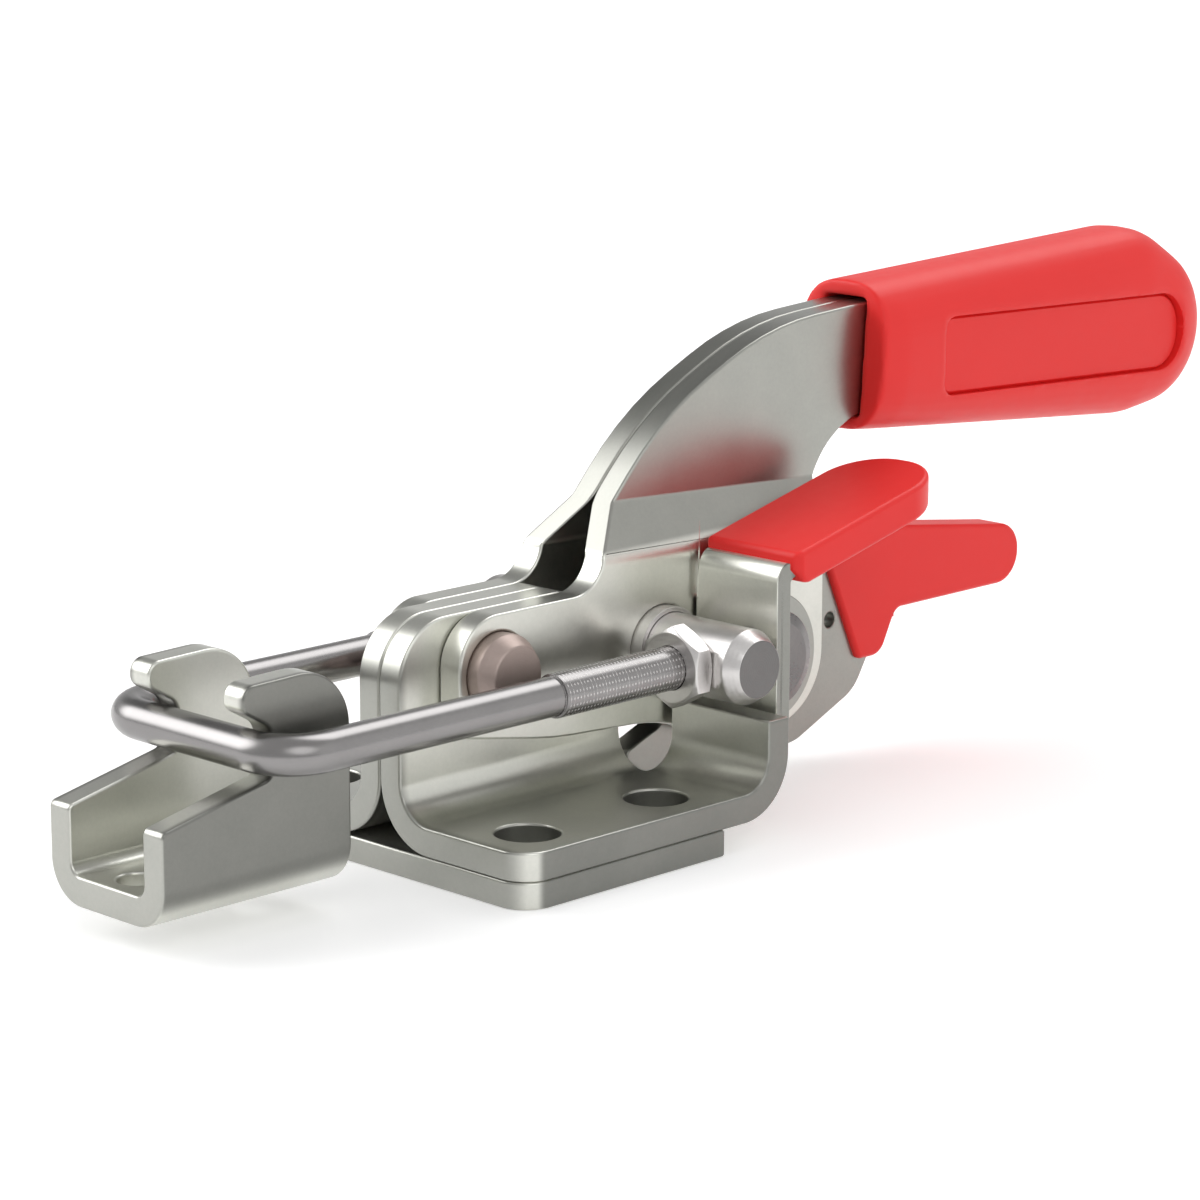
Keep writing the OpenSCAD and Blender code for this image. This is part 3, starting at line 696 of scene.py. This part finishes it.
def vinyl_skin():
    """The slight orange peel and cloudiness of dipped vinyl."""
    group, inside, outside = new_group(
        "vinyl skin",
        {
            "Pale": ("Color", (0.8, 0.1, 0.1, 1)),
            "Deep": ("Color", (0.7, 0.1, 0.1, 1)),
            "Roughness": ("Float", 0.4),
        },
        {"Color": "Color", "Roughness": "Float", "Height": "Float"},
    )
    links = group.links
    place = add_node(group, "TexCoord")
    cloud = add_node(group, "TexNoise", {"Scale": 45, "Detail": 3})
    links.new(place.outputs["Object"], cloud.inputs["Vector"])
    peel = add_node(group, "TexNoise", {"Scale": 420, "Detail": 2})
    links.new(place.outputs["Object"], peel.inputs["Vector"])
    tint = add_node(group, "Mix", data_type="RGBA")
    links.new(cloud.outputs["Fac"], tint.inputs["Factor"])
    links.new(inside.outputs["Deep"], tint.inputs["A"])
    links.new(inside.outputs["Pale"], tint.inputs["B"])
    links.new(tint.outputs["Result"], outside.inputs["Color"])
    vary = add_node(group, "Math", {1: 0.1}, operation="MULTIPLY_ADD")
    links.new(peel.outputs["Fac"], vary.inputs[0])
    links.new(inside.outputs["Roughness"], vary.inputs[2])
    links.new(vary.outputs["Value"], outside.inputs["Roughness"])
    links.new(peel.outputs["Fac"], outside.inputs["Height"])
    return group


VINYL_SKIN = vinyl_skin()


def vinyl(name, pale, deep, roughness):
    """A vinyl finish with a soft gloss."""
    material = bpy.data.materials.new(name)
    material.use_nodes = True
    tree = material.node_tree
    links = tree.links
    shader = tree.nodes["Principled BSDF"]
    shader.inputs["IOR"].default_value = 1.5
    shader.inputs["Specular IOR Level"].default_value = 0.3
    skin = add_node(
        tree,
        "Group",
        {"Pale": (*pale, 1), "Deep": (*deep, 1), "Roughness": roughness},
        node_tree=VINYL_SKIN,
    )
    links.new(skin.outputs["Color"], shader.inputs["Base Color"])
    links.new(skin.outputs["Roughness"], shader.inputs["Roughness"])
    relief = add_node(tree, "Bump", {"Distance": PEEL_DEPTH * MM, "Strength": 0.15})
    links.new(skin.outputs["Height"], relief.inputs["Height"])
    links.new(relief.outputs["Normal"], shader.inputs["Normal"])
    return material


VINYL = vinyl("dipped vinyl", pale=(0.82, 0.028, 0.026), deep=(0.77, 0.024, 0.022), roughness=0.36)


def coat(node, name, sheet):
    """A dipped coat: its outer corners run round, and its mouth lies tight on the sheet inside."""
    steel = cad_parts[sheet].data
    surface = BVHTree.FromPolygons(
        [point.co for point in steel.vertices], [face.vertices for face in steel.polygons]
    )
    piece = merged_copy(node, name)
    bpy.ops.object.mode_set(mode="EDIT")
    bpy.ops.mesh.select_mode(type="EDGE")
    bpy.ops.mesh.select_all(action="DESELECT")
    bpy.ops.mesh.edges_select_sharp(sharpness=math.radians(30))
    bpy.ops.object.mode_set(mode="OBJECT")
    tight = [
        surface.find_nearest(point.co)[3] < TIGHT_WITHIN * MM for point in piece.data.vertices
    ]
    for edge in piece.data.edges:
        if tight[edge.vertices[0]] or tight[edge.vertices[1]]:
            edge.select = False
    for face in piece.data.polygons:
        face.select = False
    bpy.ops.object.mode_set(mode="EDIT")
    bpy.ops.mesh.bevel(
        offset=DIP_ROUND * MM, segments=5, profile=0.5, affect="EDGES", clamp_overlap=False
    )
    bpy.ops.mesh.select_mode(type="VERT")
    bpy.ops.object.mode_set(mode="OBJECT")
    even_shading(piece)
    return piece


# Painted shade: a darker copy of the zinc (gain 0.62).
BLADE_ZINC = zinc("zinc plate of the release lever", NO_PAINTED_SHADING, gain=0.62)
blade = merged_copy("release_lever", "release_blade")
for point in blade.data.vertices:
    ahead = LEVER[0] - NOSE_FROM - point.co.x / MM
    below = LEVER[1] - NOSE_UNDER - point.co.z / MM
    if ahead > 0 and below > 0:
        fade = min(1, below / NOSE_FADE_DOWN) * min(1, ahead / NOSE_FADE_AHEAD)
        point.co.z -= NOSE_DROP * MM * fade
break_edges(blade, EDGE_ROUND)
fit(blade, BLADE_ZINC, "zinc_steel", "release", "release_lever")
sleeve = coat("release_sleeve", "release_dip", "release_lever")
fit(sleeve, VINYL, "red_vinyl", "release", "release_sleeve")

# Thumb lever
# Zinc-plated sheet of 2 mm, bent over behind the crosspin into a tongue for the thumb, and dipped like the
# release lever's tail.
THUMB_OUT = 23.8
THUMB_WALL_BACK = 33.0
# Painted light: a darker copy of the zinc (gain 0.66), made 2.1 times as bright on the front wall, before
# 33 mm.
THUMB_ZINC = zinc(
    "zinc plate of the thumb lever",
    paint_shading(below=THUMB_WALL_BACK, below_fade=0.8, below_share=2.1),
    gain=0.66,
)
# Painted shade: the sheet's outer side edges are darkened to 0.36 of the colour.
recolour(
    THUMB_ZINC, PAINTED_SHADING_BY_SIDE, paint_shading(out=THUMB_OUT - FACE_MARGIN, out_fade=0.05, out_share=0.36)
)
thumb = tumbled("thumb_lever_near", "thumb_tongue", size=0.25)
fit(thumb, THUMB_ZINC, "zinc_steel", "thumb_lever", "thumb_lever_near")
pad = coat("thumb_pad_near", "thumb_dip", "thumb_lever_near")
fit(pad, VINYL, "red_vinyl", "thumb_lever", "thumb_pad_near")

# Grip
# A thick red vinyl sleeve, moulded round the tang, with a slot in front and a bare recessed panel on each
# side. The moulding's corners are soft, and the panel's rim is crisp, with a fine groove inside it.
GRIP_VOXEL = 0.4
GRIP_EASING = 9
PANEL_FLOOR = 7.65
GROOVE_FLOOR = 7.05
GROOVE_WIDE = 0.55
GRIP_OUT = 12
PANEL_CORNERS = (
    (83.9, 52.15, 2.5),
    (142.0, 49.8, 5.6),
    (142.0, 62.0, 5.6),
    (83.9, 63.95, 2.5),
)
CORNER_STEPS = 10


def rounded_outline(corners, inset):
    """Points in x and z along an outline with round corners, from corners of x, z and radius."""
    outline = []
    for index, (x, z, radius) in enumerate(corners):
        here = Vector((x, z))
        before = (Vector(corners[index - 1][:2]) - here).normalized()
        after = (Vector(corners[(index + 1) % len(corners)][:2]) - here).normalized()
        half = before.angle(after) / 2
        centre = here + (before + after).normalized() * radius / math.sin(half)
        start = here + before * radius / math.tan(half) - centre
        turn = math.pi - 2 * half
        if before.x * after.y - before.y * after.x > 0:
            turn = -turn
        first = math.atan2(start.y, start.x)
        for step in range(CORNER_STEPS + 1):
            angle = first + turn * step / CORNER_STEPS
            outline.append(centre + Vector((math.cos(angle), math.sin(angle))) * (radius - inset))
    return outline


def panel_cutter(name, side):
    """A slab with the panel's outline and a lip for the groove, standing off one side of the grip."""
    rim = rounded_outline(PANEL_CORNERS, 0)
    floor = rounded_outline(PANEL_CORNERS, GROOVE_WIDE)
    count = len(rim)
    places = []
    for outline, out in ((floor, PANEL_FLOOR), (rim, GROOVE_FLOOR), (rim, GRIP_OUT)):
        places += [(point[0] * MM, side * out * MM, point[1] * MM) for point in outline]
    faces = [list(range(count)), list(range(2 * count, 3 * count))]
    for row in (0, count):
        for index in range(count):
            following = (index + 1) % count
            faces.append(
                (row + index, row + following, row + count + following, row + count + index)
            )
    mesh = bpy.data.meshes.new(name)
    mesh.from_pydata(places, [], faces)
    slab = bpy.data.objects.new(name, mesh)
    scene.collection.objects.link(slab)
    pick(slab)
    bpy.ops.object.mode_set(mode="EDIT")
    bpy.ops.mesh.select_all(action="SELECT")
    bpy.ops.mesh.normals_make_consistent(inside=False)
    bpy.ops.object.mode_set(mode="OBJECT")
    return slab


grip = merged_copy("grip", "moulded_grip")
skin = grip.modifiers.new("one skin", "REMESH")
skin.mode = "VOXEL"
skin.voxel_size = GRIP_VOXEL * MM
apply_all(grip)
easing = grip.modifiers.new("eased corners", "SMOOTH")
easing.factor = 0.5
easing.iterations = GRIP_EASING
apply_all(grip)
for side in (-1, 1):
    slab = panel_cutter("panel slab", side)
    cut = grip.modifiers.new("panel", "BOOLEAN")
    cut.operation = "DIFFERENCE"
    cut.solver = "EXACT"
    cut.object = slab
    apply_all(grip)
    bpy.data.objects.remove(slab, do_unlink=True)
pick(grip)
bpy.ops.object.shade_smooth_by_angle(angle=math.radians(40))
fit(grip, VINYL, "red_vinyl", "handle", "grip")

# Floor
# A sheet of white paper under the clamp, wide enough to fill the view. It keeps the clamp's soft shadow,
# and it glows a little for the camera and in the metal's reflections.
PAPER_RADIUS = 5
PAPER_DROP = 0.02
PAPER_WHITE = (0.86, 0.86, 0.86, 1)
PAPER_GLOW = 0.3
bpy.ops.object.select_all(action="DESELECT")
bpy.ops.mesh.primitive_circle_add(
    vertices=96, radius=PAPER_RADIUS, fill_type="NGON", location=(0, 0, -PAPER_DROP * MM)
)
paper = bpy.context.object
paper.name = "paper"
PAPER = bpy.data.materials.new("white paper")
PAPER.use_nodes = True
paper_links = PAPER.node_tree.links
paper_shader = PAPER.node_tree.nodes["Principled BSDF"]
paper_shader.inputs["Base Color"].default_value = PAPER_WHITE
paper_shader.inputs["Roughness"].default_value = 0.9
paper_shader.inputs["Specular IOR Level"].default_value = 0.1
paper_shader.inputs["Emission Color"].default_value = (1, 1, 1, 1)
seen = add_node(PAPER.node_tree, "LightPath")
either = add_node(PAPER.node_tree, "Math", operation="MAXIMUM")
paper_links.new(seen.outputs["Is Camera Ray"], either.inputs[0])
paper_links.new(seen.outputs["Is Glossy Ray"], either.inputs[1])
glow = add_node(PAPER.node_tree, "Math", {1: PAPER_GLOW}, operation="MULTIPLY")
paper_links.new(either.outputs["Value"], glow.inputs[0])
paper_links.new(glow.outputs["Value"], paper_shader.inputs["Emission Strength"])
paper.data.materials.append(PAPER)

# Studio light
# The room is an even white tent with soft panels in its walls: strong ones high on the left and overhead,
# a weaker one above the camera, a faint one low on the right and a darker one behind the clamp.
TENT = 0.62
PANELS = (
    ((0.55, -0.80, 0.25), 45, 15, 0.35),
    ((-0.47, 0.70, 0.50), 29, 10, 3.4),
    ((0.30, 0.66, 0.62), 28, 12, -0.36),
    ((0.60, 0.12, 0.79), 24, 10, 2.6),
    ((-0.30, -0.75, 0.60), 26, 12, 1.2),
)
room = bpy.data.worlds.new("room")
scene.world = room
room.use_nodes = True
room_tree = room.node_tree
way = add_node(room_tree, "TexCoord")
tent = add_node(room_tree, "Value")
tent.outputs["Value"].default_value = TENT
light = tent.outputs["Value"]
for aim, wide, narrow, gain in PANELS:
    dot = add_node(room_tree, "VectorMath", {1: Vector(aim).normalized()}, operation="DOT_PRODUCT")
    room_tree.links.new(way.outputs["Generated"], dot.inputs[0])
    fade = add_node(
        room_tree,
        "MapRange",
        {
            "From Min": math.cos(math.radians(wide)),
            "From Max": math.cos(math.radians(narrow)),
            "To Min": 0,
            "To Max": gain,
        },
        interpolation_type="SMOOTHSTEP",
    )
    room_tree.links.new(dot.outputs["Value"], fade.inputs["Value"])
    both = add_node(room_tree, "Math", operation="ADD")
    room_tree.links.new(light, both.inputs[0])
    room_tree.links.new(fade.outputs["Result"], both.inputs[1])
    light = both.outputs["Value"]
room_tree.links.new(light, room_tree.nodes["Background"].inputs["Strength"])
room_tree.nodes["Background"].inputs["Color"].default_value = (1, 1, 1, 1)
